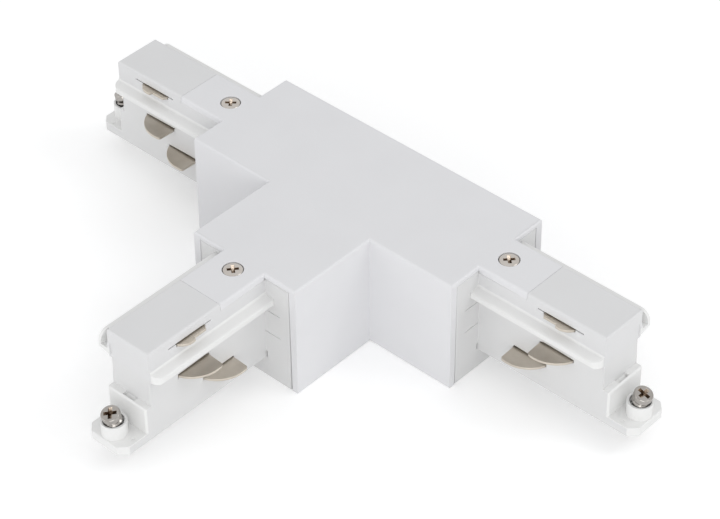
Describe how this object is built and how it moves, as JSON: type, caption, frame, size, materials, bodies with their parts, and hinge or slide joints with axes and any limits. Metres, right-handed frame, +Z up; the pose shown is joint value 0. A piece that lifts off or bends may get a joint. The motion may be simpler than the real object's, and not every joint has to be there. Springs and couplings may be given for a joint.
{
  "type": "lighting track connector",
  "caption": "T-shaped connector for lighting track: white body with arms that carry sprung contacts, guide ribs and a leaning clamp screw at the tip.",
  "frame": {"origin": "centre of the crossing of bar and stem, on the underside", "axes": "+X along the bar to the right arm, -Y along the stem to its tip, +Z up out of the top face"},
  "size_m": [0.1942, 0.1151, 0.035],
  "materials": {
    "cover_plastic": "fine matte white moulding",
    "arm_plastic": "smooth warm white moulding",
    "nickel": "nickel plated steel",
    "contact": "dull nickel bronze, fine lines along its edge",
    "copper_bar": "plain rolled"
  },
  "bodies": {
    "connector": {"cover": "cover_plastic", "base_plate": "cover_plastic", "cover_screws": "nickel", "bar_near_low": "copper_bar", "bar_far_low": "copper_bar", "bar_near_high": "copper_bar", "bar_far_high": "copper_bar", "earth_bar": "copper_bar", "arm_housing_left": "arm_plastic", "arm_cap_left": "arm_plastic", "clamp_nut_left": "nickel", "arm_housing_right": "arm_plastic", "arm_cap_right": "arm_plastic", "clamp_nut_right": "nickel", "arm_housing_stem": "arm_plastic", "arm_cap_stem": "arm_plastic", "clamp_nut_stem": "nickel"},
    "blade_near_low_left": {"blade_near_low_left": "contact"},
    "blade_near_high_left": {"blade_near_high_left": "contact"},
    "blade_far_low_left": {"blade_far_low_left": "contact"},
    "blade_far_high_left": {"blade_far_high_left": "contact"},
    "earth_blade_left": {"earth_blade_left": "contact"},
    "clamp_screw_left": {"clamp_screw_left": "nickel", "clamp_washer_left": "nickel"},
    "blade_near_low_right": {"blade_near_low_right": "contact"},
    "blade_near_high_right": {"blade_near_high_right": "contact"},
    "blade_far_low_right": {"blade_far_low_right": "contact"},
    "blade_far_high_right": {"blade_far_high_right": "contact"},
    "earth_blade_right": {"earth_blade_right": "contact"},
    "clamp_screw_right": {"clamp_screw_right": "nickel", "clamp_washer_right": "nickel"},
    "blade_near_low_stem": {"blade_near_low_stem": "contact"},
    "blade_near_high_stem": {"blade_near_high_stem": "contact"},
    "blade_far_low_stem": {"blade_far_low_stem": "contact"},
    "blade_far_high_stem": {"blade_far_high_stem": "contact"},
    "earth_blade_stem": {"earth_blade_stem": "contact"},
    "clamp_screw_stem": {"clamp_screw_stem": "nickel", "clamp_washer_stem": "nickel"}
  },
  "joints": [
    {"name": "blade_near_low_left_spring", "type": "slide", "parent": "connector", "child": "blade_near_low_left", "axis": [0, 1, 0], "range_m": [0, 0.0015], "stiffness_N_per_m": 800},
    {"name": "blade_near_high_left_spring", "type": "slide", "parent": "connector", "child": "blade_near_high_left", "axis": [0, 1, 0], "range_m": [0, 0.0015], "stiffness_N_per_m": 800},
    {"name": "blade_far_low_left_spring", "type": "slide", "parent": "connector", "child": "blade_far_low_left", "axis": [0, -1, 0], "range_m": [0, 0.0015], "stiffness_N_per_m": 800},
    {"name": "blade_far_high_left_spring", "type": "slide", "parent": "connector", "child": "blade_far_high_left", "axis": [0, -1, 0], "range_m": [0, 0.0015], "stiffness_N_per_m": 800},
    {"name": "earth_blade_left_spring", "type": "slide", "parent": "connector", "child": "earth_blade_left", "axis": [0, 1, 0], "range_m": [0, 0.0012], "stiffness_N_per_m": 800},
    {"name": "clamp_feed_left", "type": "slide", "parent": "connector", "child": "clamp_screw_left", "axis": [0.2756, 0, -0.9613], "range_m": [0, 0.002]},
    {"name": "blade_near_low_right_spring", "type": "slide", "parent": "connector", "child": "blade_near_low_right", "axis": [0, 1, 0], "range_m": [0, 0.0015], "stiffness_N_per_m": 800},
    {"name": "blade_near_high_right_spring", "type": "slide", "parent": "connector", "child": "blade_near_high_right", "axis": [0, 1, 0], "range_m": [0, 0.0015], "stiffness_N_per_m": 800},
    {"name": "blade_far_low_right_spring", "type": "slide", "parent": "connector", "child": "blade_far_low_right", "axis": [0, -1, 0], "range_m": [0, 0.0015], "stiffness_N_per_m": 800},
    {"name": "blade_far_high_right_spring", "type": "slide", "parent": "connector", "child": "blade_far_high_right", "axis": [0, -1, 0], "range_m": [0, 0.0015], "stiffness_N_per_m": 800},
    {"name": "earth_blade_right_spring", "type": "slide", "parent": "connector", "child": "earth_blade_right", "axis": [0, 1, 0], "range_m": [0, 0.0012], "stiffness_N_per_m": 800},
    {"name": "clamp_feed_right", "type": "slide", "parent": "connector", "child": "clamp_screw_right", "axis": [-0.2756, 0, -0.9613], "range_m": [0, 0.002]},
    {"name": "blade_near_low_stem_spring", "type": "slide", "parent": "connector", "child": "blade_near_low_stem", "axis": [-1, 0, 0], "range_m": [0, 0.0015], "stiffness_N_per_m": 800},
    {"name": "blade_near_high_stem_spring", "type": "slide", "parent": "connector", "child": "blade_near_high_stem", "axis": [-1, 0, 0], "range_m": [0, 0.0015], "stiffness_N_per_m": 800},
    {"name": "blade_far_low_stem_spring", "type": "slide", "parent": "connector", "child": "blade_far_low_stem", "axis": [1, 0, 0], "range_m": [0, 0.0015], "stiffness_N_per_m": 800},
    {"name": "blade_far_high_stem_spring", "type": "slide", "parent": "connector", "child": "blade_far_high_stem", "axis": [1, 0, 0], "range_m": [0, 0.0015], "stiffness_N_per_m": 800},
    {"name": "earth_blade_stem_spring", "type": "slide", "parent": "connector", "child": "earth_blade_stem", "axis": [-1, 0, 0], "range_m": [0, 0.0012], "stiffness_N_per_m": 800},
    {"name": "clamp_feed_stem", "type": "slide", "parent": "connector", "child": "clamp_screw_stem", "axis": [0, 0.2756, -0.9613], "range_m": [0, 0.002]}
  ]
}
